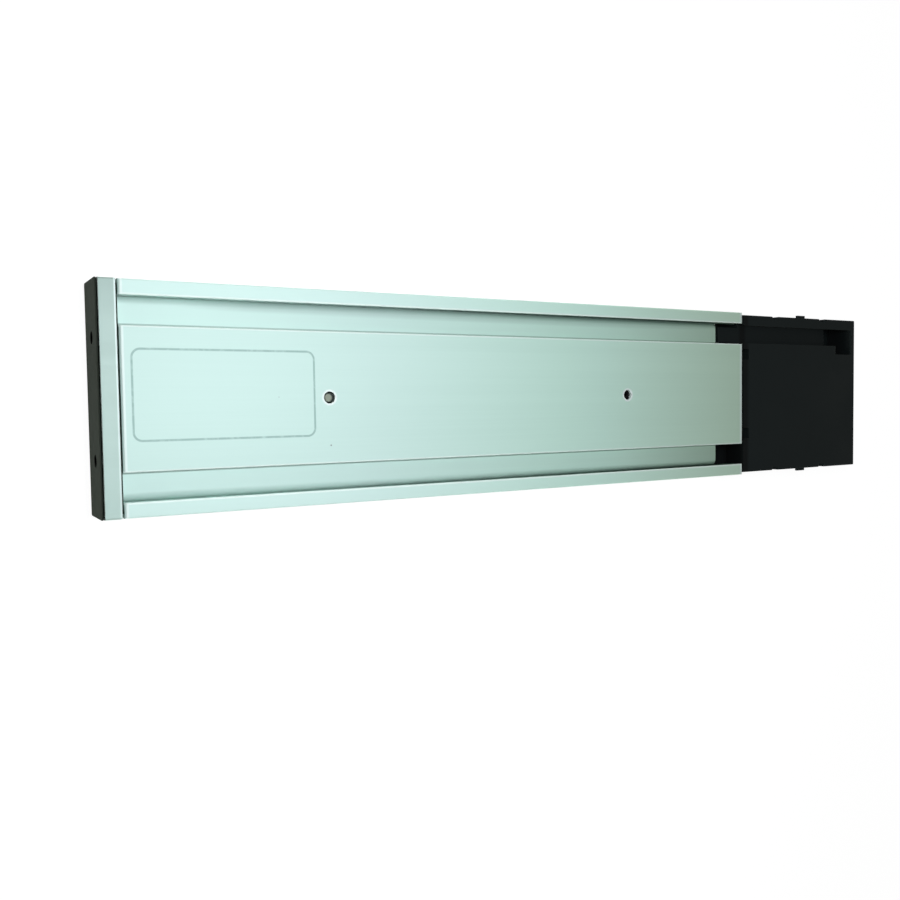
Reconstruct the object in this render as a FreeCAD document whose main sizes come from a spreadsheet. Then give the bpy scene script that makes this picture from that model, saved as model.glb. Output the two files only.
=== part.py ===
import FreeCAD, Part
import os
from types import SimpleNamespace

import Sketcher

# Power track lying on its slot side, back panel up, in millimetres.
# X runs along the track from the end cap to the feed housing, Y across it, Z up from the slot face.
# The origin is at the middle of the bottom of the whole part.

SIZES = {
    # extruded profile
    "track_length": 295.0,
    "track_width": 80.0,
    "track_depth": 20.0,
    "wall": 1.5,
    "corner_round": 0.6,
    "edge_round": 0.5,
    "end_chamfer": 0.7,
    "rail_width": 5.3,
    "groove_depth": 1.8,
    "groove_round": 3.0,
    "undercut_height": 4.0,
    "panel_width": 49.2,
    "slot_width": 14.0,
    "channel_width": 34.0,
    "port_height": 11.2,
    "port_bore": 2.9,
    "port_wall": 1.5,
    "window_length": 17.1,
    "hole_diameter": 4.5,
    "hole_inset": 74.6,
    # plastic carrier and copper strips
    "slide_clearance": 0.2,
    "carrier_base": 2.0,
    "carrier_arm": 7.8,
    "contact_groove_depth": 4.2,
    "strip_height": 4.0,
    "strip_thickness": 1.2,
    "power_strip_level": 6.2,
    "earth_strip_level": 12.0,
    "strip_setback": 1.0,
    "strip_reach": 22.0,
    # end cap
    "cap_plate": 0.5,
    "cap_groove": 0.4,
    "cap_frame_width": 5.65,
    "cap_frame_wall": 1.6,
    "cap_gap": 0.7,
    "cap_overhang": 0.1,
    "cap_round": 0.8,
    "cap_fit": 0.1,
    "cap_screw_recess": 4.4,
    "cap_screw_recess_depth": 3.5,
    "cap_screw_head": 4.0,
    "cap_screw_head_height": 1.6,
    "cap_screw_shank": 2.6,
    "cap_screw_grip": 8.0,
    "driver_slot_width": 0.8,
    "driver_slot_depth": 0.7,
    # feed housing
    "feed_length": 88.4,
    "feed_setback": 0.9,
    "feed_wall": 2.4,
    "feed_shoulder": 9.0,
    "mouth_step": 2.4,
    "feed_back": 3.8,
    "feed_rail": 5.2,
    "feed_band_width": 8.7,
    "low_tongue_length": 22.0,
    "low_tongue_height": 5.0,
    "key_length": 13.2,
    "key_clearance": 1.5,
    "tongue_clearance": 0.4,
    "entry_length": 20.4,
    "entry_step_length": 13.2,
    "entry_step_width": 4.5,
    "shoulder_notch_spacing": 39.3,
    "shoulder_notch_length": 6.3,
    "shoulder_notch_width": 5.2,
    "shoulder_notch_depth": 6.0,
    "side_notch_length": 5.0,
    "side_notch_depth": 1.6,
    "near_notch_place": 26.1,
    "far_notch_place": 62.2,
    "catch_length": 5.6,
    "catch_height": 1.2,
    "catch_rise": 1.2,
    "catch_place": 46.0,
    "cover_thickness": 1.6,
    "cover_ledge": 1.6,
    # terminal block in the wiring chamber
    "terminal_place": 14.0,
    "terminal_length": 24.0,
    "terminal_width": 40.0,
    "terminal_floor_gap": 0.4,
    "wire_bore": 4.2,
    "wire_bore_depth": 11.0,
    "wire_bore_spacing": 12.4,
    "clamp_recess": 4.6,
    "clamp_recess_depth": 2.4,
    # screw in the left panel hole
    "panel_screw_head": 7.0,
    "panel_screw_head_height": 2.2,
    "panel_screw_shank": 4.0,
    "panel_screw_setback": 0.4,
}


class Size:
    """A length with its sheet expression and its present value."""

    def __init__(self, text, value):
        self.text = text
        self.value = value

    def combine(self, other, sign, value):
        other_text = other.text if isinstance(other, Size) else repr(other)
        return Size(f"({self.text} {sign} {other_text})", value)

    def __add__(self, other):
        return self.combine(other, "+", self.value + plain(other))

    def __sub__(self, other):
        return self.combine(other, "-", self.value - plain(other))

    def __mul__(self, other):
        return self.combine(other, "*", self.value * plain(other))

    def __truediv__(self, other):
        return self.combine(other, "/", self.value / plain(other))

    def __neg__(self):
        return Size(f"(0 - {self.text})", -self.value)


def plain(number):
    return number.value if isinstance(number, Size) else float(number)


doc = FreeCAD.newDocument("power_track")
sheet = doc.addObject("Spreadsheet::Sheet", "Sizes")
for row, (name, number) in enumerate(SIZES.items(), start=1):
    sheet.set(f"A{row}", name.replace("_", " "))
    sheet.set(f"B{row}", str(number))
    sheet.setAlias(f"B{row}", name)
doc.recompute()
size = SimpleNamespace(**{name: Size(f"Sizes.{name}", number) for name, number in SIZES.items()})
ZERO = Size("0", 0.0)


def bind(thing, path, length):
    """Ties one property or constraint to the sheet."""
    thing.setExpression(path, length.text)


def new_body(label, start):
    """A named sub-part whose own zero lies at start along the track."""
    body = doc.addObject("PartDesign::Body", label)
    body.Label = label
    bind(body, ".Placement.Base.x", start)
    return body


def origin_plane(body, role):
    return next(item for item in body.Origin.OriginFeatures if item.Role == role)


def new_sketch(body, role, offset=ZERO):
    """A sketch on one of the body's own planes, moved along that plane's normal."""
    sketch = body.newObject("Sketcher::SketchObject", f"{body.Label}_{role[:2].lower()}_{len(body.Group)}")
    sketch.AttachmentSupport = (origin_plane(body, role), [""])
    sketch.MapMode = "FlatFace"
    bind(sketch, ".AttachmentOffset.Base.z", offset)
    return sketch


def hold(sketch, kind, element, point, length):
    """Fixes one coordinate of a sketch point, measured from the sketch's origin."""
    if length.value < 0:
        constraint = Sketcher.Constraint(kind, element, point, -1, 1, -length.value)
        held = -length
    else:
        constraint = Sketcher.Constraint(kind, -1, 1, element, point, length.value)
        held = length
    index = sketch.addConstraint(constraint)
    bind(sketch, f"Constraints[{index}]", held)


def outline(sketch, corners, rounds=None):
    """A closed outline of level and upright lines through corners, some of them rounded.

    corners are (across, up) pairs of sizes, rounds maps a corner's number to its radius.
    """
    rounds = rounds or {}
    count = len(corners)
    lines = []
    for number in range(count):
        here, there = corners[number], corners[(number + 1) % count]
        upright = here[0].text == there[0].text
        along = 1 if upright else 0
        step = there[along].value - here[along].value
        toward = 1.0 if step > 0 else -1.0
        start = [here[0].value, here[1].value]
        stop = [there[0].value, there[1].value]
        if number in rounds:
            start[along] += toward * rounds[number].value
        if (number + 1) % count in rounds:
            stop[along] -= toward * rounds[(number + 1) % count].value
        segment = Part.LineSegment(FreeCAD.Vector(*start, 0), FreeCAD.Vector(*stop, 0))
        line = sketch.addGeometry(segment)
        sketch.addConstraint(Sketcher.Constraint("Vertical" if upright else "Horizontal", line))
        lines.append((line, upright, start, stop))
    for number, (line, upright, start, stop) in enumerate(lines):
        before_line, before_upright, before_start, before_stop = lines[number - 1]
        if number in rounds:
            radius = rounds[number].value
            corner = FreeCAD.Vector(corners[number][0].value, corners[number][1].value, 0)
            arrive = FreeCAD.Vector(*before_stop, 0)
            leave = FreeCAD.Vector(*start, 0)
            middle = arrive + leave - corner
            halfway = middle + (corner - middle).normalize() * radius
            arc = sketch.addGeometry(Part.Arc(arrive, halfway, leave))
            first, last = arc_ends(sketch.Geometry[arc], arrive)
            sketch.addConstraint(Sketcher.Constraint("Tangent", before_line, 2, arc, first))
            sketch.addConstraint(Sketcher.Constraint("Tangent", arc, last, line, 1))
            index = sketch.addConstraint(Sketcher.Constraint("Radius", arc, radius))
            bind(sketch, f"Constraints[{index}]", rounds[number])
        else:
            sketch.addConstraint(Sketcher.Constraint("Coincident", before_line, 2, line, 1))
    for number, (line, upright, start, stop) in enumerate(lines):
        if upright:
            hold(sketch, "DistanceX", line, 1, corners[number][0])
        else:
            hold(sketch, "DistanceY", line, 1, corners[number][1])


def arc_ends(arc, arrive):
    """Which end of an arc meets the line that arrives at it, and which one leaves."""
    meets_start = arc.StartPoint.distanceToPoint(arrive) < arc.EndPoint.distanceToPoint(arrive)
    return (1, 2) if meets_start else (2, 1)


def triangle(sketch, points):
    """A closed outline of three straight lines through points, which are (across, up) pairs of sizes."""
    lines = []
    for number, here in enumerate(points):
        there = points[(number + 1) % len(points)]
        begin = FreeCAD.Vector(here[0].value, here[1].value, 0)
        finish = FreeCAD.Vector(there[0].value, there[1].value, 0)
        lines.append(sketch.addGeometry(Part.LineSegment(begin, finish)))
        hold(sketch, "DistanceX", lines[-1], 1, here[0])
        hold(sketch, "DistanceY", lines[-1], 1, here[1])
    for number, line in enumerate(lines):
        sketch.addConstraint(Sketcher.Constraint("Coincident", line, 2, lines[(number + 1) % len(lines)], 1))


def rectangle(sketch, left, right, low, high, rounds=None):
    outline(sketch, [(left, low), (right, low), (right, high), (left, high)], rounds)


def circle(sketch, across, up, diameter):
    centre = FreeCAD.Vector(across.value, up.value, 0)
    ring = sketch.addGeometry(Part.Circle(centre, FreeCAD.Vector(0, 0, 1), diameter.value / 2))
    hold(sketch, "DistanceX", ring, 3, across)
    hold(sketch, "DistanceY", ring, 3, up)
    index = sketch.addConstraint(Sketcher.Constraint("Diameter", ring, diameter.value))
    bind(sketch, f"Constraints[{index}]", diameter)


def pad(body, sketch, length, backward=False):
    feature = body.newObject("PartDesign::Pad", f"{sketch.Name}_pad")
    feature.Profile = sketch
    bind(feature, "Length", length)
    feature.Reversed = backward
    doc.recompute()
    return feature


def pocket(body, sketch, depth, forward=False):
    """Cuts against the sketch's normal, or along it when forward, and makes sure that material went."""
    before = body.Shape.Volume
    feature = body.newObject("PartDesign::Pocket", f"{sketch.Name}_pocket")
    feature.Profile = sketch
    bind(feature, "Length", depth)
    feature.Reversed = forward
    doc.recompute()
    if not body.Shape.Volume < before:
        raise RuntimeError(f"{feature.Name} removes nothing")
    return feature


def mirror(body, features, role):
    feature = body.newObject("PartDesign::Mirrored", f"{body.Label}_mirror")
    feature.Originals = features
    feature.MirrorPlane = (origin_plane(body, role), [""])
    body.Tip = feature
    doc.recompute()
    return feature


# Places along the track
cap_depth = size.cap_gap + size.cap_frame_width
cap_outside = cap_depth + size.cap_groove + size.cap_plate
whole_length = cap_outside + size.track_length + size.feed_length
track_start = cap_outside - whole_length / 2
track_end = track_start + size.track_length

# Levels and edges of the profile, which the inner pieces share
half_width = size.track_width / 2
half_panel = size.panel_width / 2
half_slot = size.slot_width / 2
half_channel = size.channel_width / 2
port_radius = size.port_bore / 2 + size.port_wall
half_ports = half_channel + size.wall / 2 + port_radius
port_outer = half_ports + port_radius
side_inner = half_width - size.wall
rail_edge = half_width - size.rail_width
back_inner = size.track_depth - size.wall
floor_level = size.track_depth - size.groove_depth
floor_under = floor_level - size.wall
undercut_floor = back_inner - size.undercut_height
undercut_under = undercut_floor - size.wall
web_outer = half_channel + size.wall
step_inner = half_panel - size.wall
groove_wall_inner = rail_edge - size.wall


def build_track_extrusion():
    """The aluminium profile: one half drawn as a section, mirrored, then drilled and its sawn ends eased."""
    body = new_body("track_extrusion", track_start)
    section = new_sketch(body, "YZ_Plane")
    outline(section, [
        (half_slot, ZERO),
        (half_width, ZERO),
        (half_width, size.track_depth),
        (rail_edge, size.track_depth),
        (rail_edge, back_inner),
        (side_inner, back_inner),
        (side_inner, undercut_floor),
        (rail_edge, undercut_floor),
        (rail_edge, floor_level),
        (half_panel, floor_level),
        (half_panel, size.track_depth),
        (ZERO, size.track_depth),
        (ZERO, back_inner),
        (half_channel, back_inner),
        (half_channel, size.wall),
        (half_slot, size.wall),
    ], {
        1: size.corner_round,
        2: size.corner_round,
        3: size.edge_round,
        8: size.groove_round,
        10: size.edge_round,
    })
    outline(section, [
        (web_outer, size.wall),
        (side_inner, size.wall),
        (side_inner, undercut_under),
        (groove_wall_inner, undercut_under),
        (groove_wall_inner, floor_under),
        (step_inner, floor_under),
        (step_inner, back_inner),
        (web_outer, back_inner),
    ])
    profile = pad(body, section, size.track_length)
    ports = new_sketch(body, "YZ_Plane")
    circle(ports, half_ports, size.port_height, port_radius * 2)
    circle(ports, half_ports, size.port_height, size.port_bore)
    port = pad(body, ports, size.track_length)
    windows = new_sketch(body, "XY_Plane", size.track_depth)
    rectangle(windows, size.track_length - size.window_length, size.track_length, half_panel, rail_edge)
    window = pocket(body, windows, size.track_depth - undercut_under)
    mirror(body, [profile, port, window], "XZ_Plane")
    holes = new_sketch(body, "XY_Plane", size.track_depth)
    circle(holes, size.hole_inset, ZERO, size.hole_diameter)
    circle(holes, size.track_length - size.hole_inset, ZERO, size.hole_diameter)
    pocket(body, holes, size.wall * 2)
    ends = new_sketch(body, "XZ_Plane", -half_width)
    chamfer_foot = size.track_depth - size.end_chamfer
    for end, inward in ((ZERO, size.end_chamfer), (size.track_length, size.track_length - size.end_chamfer)):
        triangle(ends, [(end, size.track_depth), (inward, size.track_depth), (end, chamfer_foot)])
    pocket(body, ends, size.track_width, forward=True)


# Edges of the carrier and places of the strips in it
carrier_outer = half_channel - size.slide_clearance
carrier_inner = carrier_outer - size.carrier_arm
carrier_low = size.wall + size.slide_clearance
carrier_top = back_inner - size.slide_clearance
carrier_base_under = carrier_top - size.carrier_base
groove_half_height = size.strip_height / 2 + size.slide_clearance
groove_bottom = carrier_inner + size.contact_groove_depth
strip_middle = groove_bottom - size.slide_clearance - size.strip_thickness / 2


def build_conductor_carrier():
    """The plastic channel lining: two grooved arms on a base, with a second groove in the lower arm."""
    body = new_body("conductor_carrier", track_start)
    section = new_sketch(body, "YZ_Plane")
    outline(section, [
        (ZERO, carrier_base_under),
        (carrier_inner, carrier_base_under),
        (carrier_inner, size.power_strip_level + groove_half_height),
        (groove_bottom, size.power_strip_level + groove_half_height),
        (groove_bottom, size.power_strip_level - groove_half_height),
        (carrier_inner, size.power_strip_level - groove_half_height),
        (carrier_inner, carrier_low),
        (carrier_outer, carrier_low),
        (carrier_outer, carrier_top),
        (ZERO, carrier_top),
    ])
    lining = pad(body, section, size.track_length)
    mirror(body, [lining], "XZ_Plane")
    earth_groove = new_sketch(body, "YZ_Plane")
    rectangle(earth_groove, -groove_bottom, -carrier_inner,
              size.earth_strip_level - groove_half_height, size.earth_strip_level + groove_half_height)
    pocket(body, earth_groove, size.track_length, forward=True)
    holes = new_sketch(body, "XY_Plane", carrier_top)
    circle(holes, size.hole_inset, ZERO, size.hole_diameter)
    circle(holes, size.track_length - size.hole_inset, ZERO, size.hole_diameter)
    pocket(body, holes, size.carrier_base)


def build_conductor(label, across, level):
    """A flat copper strip on edge, from the capped end into the feed housing."""
    body = new_body(label, track_start)
    section = new_sketch(body, "YZ_Plane", size.strip_setback)
    half_strip = size.strip_thickness / 2
    half_height = size.strip_height / 2
    rectangle(section, across - half_strip, across + half_strip, level - half_height, level + half_height)
    pad(body, section, size.track_length - size.strip_setback + size.strip_reach)


# Edges of the end cap
cap_half_width = half_width + size.cap_overhang
frame_inner = cap_half_width - size.cap_frame_wall
frame_low = size.cap_frame_wall
frame_high = size.track_depth - size.cap_frame_wall
cap_seat = cap_outside - size.cap_screw_recess_depth


def build_end_cap():
    """The black cap: a thin plate on a hub that bears on the profile's end, bored for two sunk screws."""
    body = new_body("end_cap", track_start)
    plate = new_sketch(body, "YZ_Plane", -cap_outside)
    corners = {number: size.cap_round for number in range(4)}
    rectangle(plate, -cap_half_width, cap_half_width, ZERO, size.track_depth, corners)
    pad(body, plate, size.cap_plate)
    hub = new_sketch(body, "YZ_Plane")
    rectangle(hub, size.cap_fit - frame_inner, frame_inner - size.cap_fit,
              frame_low + size.cap_fit, frame_high - size.cap_fit)
    pad(body, hub, cap_depth + size.cap_groove, backward=True)
    bores = new_sketch(body, "YZ_Plane", -cap_outside)
    recesses = new_sketch(body, "YZ_Plane", -cap_outside)
    for across in (half_ports, -half_ports):
        circle(bores, across, size.port_height, size.port_bore)
        circle(recesses, across, size.port_height, size.cap_screw_recess)
    pocket(body, bores, cap_outside, forward=True)
    pocket(body, recesses, size.cap_screw_recess_depth, forward=True)


def build_end_cap_frame():
    """The silver frame between the cap's plate and the profile, a hair short of the profile."""
    body = new_body("end_cap_frame", track_start)
    ring = new_sketch(body, "YZ_Plane", -cap_depth)
    corners = {number: size.corner_round for number in range(4)}
    rectangle(ring, -cap_half_width, cap_half_width, ZERO, size.track_depth, corners)
    rectangle(ring, -frame_inner, frame_inner, frame_low, frame_high)
    pad(body, ring, size.cap_frame_width)


def build_end_cap_screw(label, across):
    """A slotted screw sunk in the cap, with its shank in the profile's screw port."""
    body = new_body(label, track_start)
    shank = new_sketch(body, "YZ_Plane", -cap_seat)
    circle(shank, across, size.port_height, size.cap_screw_shank)
    pad(body, shank, cap_seat + size.cap_screw_grip)
    head = new_sketch(body, "YZ_Plane", -cap_seat)
    circle(head, across, size.port_height, size.cap_screw_head)
    pad(body, head, size.cap_screw_head_height, backward=True)
    slot = new_sketch(body, "YZ_Plane", -(cap_seat + size.cap_screw_head_height))
    rectangle(slot, across - size.cap_screw_head / 2, across + size.cap_screw_head / 2,
              size.port_height - size.driver_slot_width / 2, size.port_height + size.driver_slot_width / 2)
    pocket(body, slot, size.driver_slot_depth, forward=True)


# Edges and levels of the feed housing
feed_half_width = half_width - size.feed_setback
feed_low = size.wall + size.slide_clearance
feed_high = back_inner - size.slide_clearance
band_level = floor_under - size.tongue_clearance
band_edge = feed_half_width - size.feed_rail
band_low_edge = band_edge - size.feed_band_width
tongue_top = feed_low + size.low_tongue_height
chamber_top = feed_high - size.feed_back
chamber_end = size.feed_length - size.feed_wall
cover_seat = feed_low + size.cover_thickness
cover_half_width = feed_half_width - size.feed_wall
chamber_half_width = cover_half_width - size.cover_ledge


def build_feed_housing():
    """The black housing: a box with a sunk band, a key, a tongue, a wiring chamber and a cable entry."""
    body = new_body("feed_housing", track_end)
    section = new_sketch(body, "YZ_Plane")
    corners = {number: size.corner_round for number in range(4)}
    rectangle(section, -feed_half_width, feed_half_width, feed_low, feed_high, corners)
    pad(body, section, size.feed_length)
    band = new_sketch(body, "XY_Plane", feed_high)
    rectangle(band, ZERO, chamber_end, band_low_edge, band_edge)
    pocket(body, band, feed_high - band_level)
    mouth = new_sketch(body, "XY_Plane", feed_high)
    rectangle(mouth, ZERO, size.mouth_step, -feed_half_width, feed_half_width)
    pocket(body, mouth, feed_high - band_level)
    low_mouth = new_sketch(body, "XY_Plane", feed_high)
    rectangle(low_mouth, ZERO, size.mouth_step, -rail_edge, -half_panel)
    pocket(body, low_mouth, feed_high - tongue_top)
    key = new_sketch(body, "YZ_Plane")
    rectangle(key, port_outer + size.key_clearance, groove_wall_inner - size.tongue_clearance,
              feed_low, band_level)
    pad(body, key, size.key_length, backward=True)
    tongue = new_sketch(body, "YZ_Plane")
    rectangle(tongue, size.slide_clearance - side_inner, -(port_outer + size.tongue_clearance),
              feed_low, tongue_top)
    pad(body, tongue, size.low_tongue_length, backward=True)
    for side in (1, -1):
        build_catch(body, side)
    lid_recess = new_sketch(body, "XY_Plane", feed_low)
    rectangle(lid_recess, size.feed_wall, chamber_end, -cover_half_width, cover_half_width)
    pocket(body, lid_recess, size.cover_thickness, forward=True)
    chamber = new_sketch(body, "XY_Plane", cover_seat)
    rectangle(chamber, size.feed_shoulder, chamber_end, -chamber_half_width, chamber_half_width)
    pocket(body, chamber, chamber_top - cover_seat, forward=True)
    strip_window = new_sketch(body, "YZ_Plane")
    rectangle(strip_window, -(groove_bottom + size.slide_clearance), groove_bottom + size.slide_clearance,
              cover_seat, chamber_top)
    pocket(body, strip_window, size.feed_shoulder, forward=True)
    entry = new_sketch(body, "XY_Plane", feed_high)
    outline(entry, [
        (chamber_end - size.entry_length, band_low_edge),
        (chamber_end - size.entry_step_length, band_low_edge),
        (chamber_end - size.entry_step_length, band_low_edge - size.entry_step_width),
        (chamber_end, band_low_edge - size.entry_step_width),
        (chamber_end, band_edge),
        (chamber_end - size.entry_length, band_edge),
    ])
    pocket(body, entry, size.feed_back)
    notches = new_sketch(body, "XY_Plane", feed_high)
    half_notch = size.shoulder_notch_width / 2
    half_side = size.side_notch_length / 2
    side_notch_floor = feed_half_width - size.side_notch_depth
    for middle in (size.shoulder_notch_spacing / 2, -size.shoulder_notch_spacing / 2):
        rectangle(notches, ZERO, size.shoulder_notch_length, middle - half_notch, middle + half_notch)
    pocket(body, notches, size.shoulder_notch_depth)
    side_notches = new_sketch(body, "XY_Plane", feed_high)
    for middle in (size.near_notch_place, size.far_notch_place):
        rectangle(side_notches, middle - half_side, middle + half_side, side_notch_floor, feed_half_width)
        rectangle(side_notches, middle - half_side, middle + half_side, -feed_half_width, -side_notch_floor)
    pocket(body, side_notches, feed_high - feed_low)


def build_catch(body, side):
    """A flat snap tab on one long side, under the back edge."""
    tab = new_sketch(body, "YZ_Plane", size.catch_place - size.catch_length / 2)
    top = feed_high - size.corner_round
    across = sorted((feed_half_width * side, (feed_half_width + size.catch_rise) * side), key=plain)
    rectangle(tab, across[0], across[1], top - size.catch_height, top)
    pad(body, tab, size.catch_length)


def build_feed_cover():
    """The flat lid of the wiring chamber, on the chamber's ledges."""
    body = new_body("feed_cover", track_end)
    lid = new_sketch(body, "XY_Plane", feed_low)
    rectangle(lid, size.feed_wall + size.slide_clearance, chamber_end - size.slide_clearance,
              size.slide_clearance - cover_half_width, cover_half_width - size.slide_clearance)
    pad(body, lid, size.cover_thickness)


def build_terminal_block():
    """The terminal block under the chamber's back wall, slotted for the strips and bored for three wires."""
    body = new_body("terminal_block", track_end)
    block = new_sketch(body, "XY_Plane", cover_seat + size.terminal_floor_gap)
    half_block = size.terminal_width / 2
    block_end = size.terminal_place + size.terminal_length
    rectangle(block, size.terminal_place, block_end, -half_block, half_block)
    pad(body, block, chamber_top - cover_seat - size.terminal_floor_gap)
    strip_slots = new_sketch(body, "YZ_Plane", size.terminal_place)
    slot_half = size.strip_thickness / 2 + size.slide_clearance
    strips = (
        (strip_middle, size.power_strip_level),
        (-strip_middle, size.power_strip_level),
        (-strip_middle, size.earth_strip_level),
    )
    for across, level in strips:
        rectangle(strip_slots, across - slot_half, across + slot_half,
                  level - groove_half_height, level + groove_half_height)
    pocket(body, strip_slots, size.strip_reach - size.terminal_place + size.slide_clearance, forward=True)
    wire_bores = new_sketch(body, "YZ_Plane", block_end)
    clamps = new_sketch(body, "XY_Plane", cover_seat + size.terminal_floor_gap)
    for across in (-size.wire_bore_spacing, ZERO, size.wire_bore_spacing):
        circle(wire_bores, across, (chamber_top + cover_seat) / 2, size.wire_bore)
        circle(clamps, block_end - size.wire_bore_depth / 2, across, size.clamp_recess)
    pocket(body, wire_bores, size.wire_bore_depth)
    pocket(body, clamps, size.clamp_recess_depth, forward=True)


def build_panel_screw():
    """The screw through carrier and panel, its end just under the panel's face."""
    body = new_body("panel_screw", track_start)
    shank = new_sketch(body, "XY_Plane", carrier_base_under)
    circle(shank, size.hole_inset, ZERO, size.panel_screw_shank)
    pad(body, shank, size.track_depth - size.panel_screw_setback - carrier_base_under)
    head = new_sketch(body, "XY_Plane", carrier_base_under)
    circle(head, size.hole_inset, ZERO, size.panel_screw_head)
    pad(body, head, size.panel_screw_head_height, backward=True)


build_track_extrusion()
build_conductor_carrier()
build_conductor("conductor_live", strip_middle, size.power_strip_level)
build_conductor("conductor_neutral", -strip_middle, size.power_strip_level)
build_conductor("conductor_earth", -strip_middle, size.earth_strip_level)
build_end_cap()
build_end_cap_frame()
build_end_cap_screw("end_cap_screw_upper", half_ports)
build_end_cap_screw("end_cap_screw_lower", -half_ports)
build_feed_housing()
build_feed_cover()
build_terminal_block()
build_panel_screw()
doc.recompute()

# Every feature has to be sound before anything is written
for thing in doc.Objects:
    if "Invalid" in thing.State or "Error" in thing.State:
        raise RuntimeError(f"{thing.Name} failed: {thing.State}")
bodies = [thing for thing in doc.Objects if thing.TypeId == "PartDesign::Body"]
for body in bodies:
    if body.Shape.isNull() or not body.Shape.isValid() or len(body.Shape.Solids) != 1:
        raise RuntimeError(f"{body.Label} is not one sound solid")

os.makedirs("parts", exist_ok=True)
for body in bodies:
    body.Shape.exportStep(os.path.join("parts", f"{body.Label}.step"))
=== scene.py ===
import math

import bmesh
import bpy
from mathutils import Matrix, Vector


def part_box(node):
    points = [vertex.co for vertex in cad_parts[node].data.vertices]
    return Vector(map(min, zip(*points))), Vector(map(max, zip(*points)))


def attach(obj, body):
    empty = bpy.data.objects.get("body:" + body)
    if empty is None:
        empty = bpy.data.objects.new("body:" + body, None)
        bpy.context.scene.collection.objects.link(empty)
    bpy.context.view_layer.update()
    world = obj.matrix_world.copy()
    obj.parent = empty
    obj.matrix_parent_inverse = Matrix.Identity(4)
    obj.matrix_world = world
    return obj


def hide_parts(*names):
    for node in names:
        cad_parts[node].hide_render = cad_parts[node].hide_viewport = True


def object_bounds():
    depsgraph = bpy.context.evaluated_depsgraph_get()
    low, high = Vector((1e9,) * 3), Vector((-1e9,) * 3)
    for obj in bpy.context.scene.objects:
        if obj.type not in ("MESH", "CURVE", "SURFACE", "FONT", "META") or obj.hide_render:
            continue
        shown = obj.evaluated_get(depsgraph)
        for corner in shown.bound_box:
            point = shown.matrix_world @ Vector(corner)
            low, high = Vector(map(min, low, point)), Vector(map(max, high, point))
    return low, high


# Power track lying on its slot side with the back panel up, in metres.
# X runs along the track from the end cap to the feed housing, Y across it, Z up.

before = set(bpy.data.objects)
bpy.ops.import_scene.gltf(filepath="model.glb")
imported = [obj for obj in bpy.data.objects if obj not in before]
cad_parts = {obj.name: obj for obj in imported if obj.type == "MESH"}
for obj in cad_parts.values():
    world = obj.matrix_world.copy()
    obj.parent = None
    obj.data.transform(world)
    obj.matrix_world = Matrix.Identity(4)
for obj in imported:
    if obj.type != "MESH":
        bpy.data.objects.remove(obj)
cad_low, cad_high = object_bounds()
MM = 0.001

# Viewing place, measured from the track's capped end on the floor
CAMERA_EYE = (-60.73 * MM, -3.70 * MM, 337.74 * MM)
CAMERA_TURN = (-2.283, -30.527, -0.967)
CAMERA_LENS = 36.65
CAMERA_SENSOR = 36.0
CAMERA_NEAREST = 0.01

# Colours of the profile and the cap's frame
ALUMINIUM_TINT = (0.655, 0.862, 0.796)
ALUMINIUM_TINT_DULL = (0.62, 0.827, 0.761)
ALUMINIUM_RAIL = (0.685, 0.90, 0.835)
# Painted highlight on the profile's edges, ends and hole rims, also its rubbed edges
ALUMINIUM_HIGHLIGHT_AND_WEAR = (0.88, 0.99, 0.95)
# Painted shade in the grooves: shadow under the rails, a shade line at the panel's foot, darker floors
# towards the feed end
GROOVE_SHADE_COLOUR = (0.05, 0.10, 0.08)
# Painted shade in the joint between the profile and the cap's frame
JOINT_SHADE_COLOUR = (0.015, 0.024, 0.020)
# Painted light: the lamps' colour along the track, greener over the feed half and warmer and darker at the
# feed end
MIDDLE_LIGHT_TINT = (1.0, 1.065, 1.0)
FEED_END_LIGHT_TINT = (0.99, 0.945, 0.865)
PRINT_GREY = (0.345, 0.52, 0.475)
FLECK_GREY = (0.16, 0.19, 0.18)
TRIM_TINT = (0.483, 0.637, 0.578)
TRIM_TINT_DULL = (0.452, 0.60, 0.54)
# Painted shade: the frame darker towards its upper end
TRIM_UPPER_SHADE = (0.75, 0.75, 0.75)
# Painted highlight on the frame's lip towards the track, also its rubbed edges
TRIM_HIGHLIGHT_AND_WEAR = (0.66, 0.79, 0.75)
TRIM_SHADED = (0.09, 0.115, 0.095)

# Colours of the plastics, the copper and the screws
HOUSING_BLACK = (0.0120, 0.0177, 0.0178)
HOUSING_BLACK_WORN = (0.0195, 0.0255, 0.0255)
CAP_BLACK = (0.026, 0.033, 0.025)
CAP_BLACK_WORN = (0.042, 0.051, 0.040)
# Painted shade on the plastics' sunk faces
SUNK_SHADE_BLACK = (0.0072, 0.0088, 0.0090)
# Painted shade along the seams: on the housing past the track's end and on the cap along its frame
SEAM_SHADE_BLACK = (0.002, 0.0025, 0.0025)
CARRIER_BLACK = (0.016, 0.016, 0.018)
CARRIER_BLACK_WORN = (0.040, 0.040, 0.042)
TERMINAL_CREAM = (0.55, 0.53, 0.46)
TERMINAL_CREAM_WORN = (0.64, 0.62, 0.56)
COPPER_BRIGHT = (0.80, 0.42, 0.24)
COPPER_DULL = (0.46, 0.22, 0.13)
ZINC_BRIGHT = (0.32, 0.35, 0.28)
ZINC_DULL = (0.24, 0.27, 0.21)
# Painted shade: a dark crescent round the panel screw's end, where the hole's wall is in shadow
ZINC_SHADE_COLOUR = (0.03, 0.04, 0.035)
OXIDE_BLACK = (0.035, 0.035, 0.036)
OXIDE_WORN = (0.15, 0.15, 0.15)

# Stretches of a noise's tone that the finishes use
MIDDLE_TONES = (0.3, 0.7)
MOST_TONES = (0.25, 0.75)
RUBBED_TONES = (0.35, 0.65)
TARNISH_TONES = (0.35, 0.7)

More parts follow.
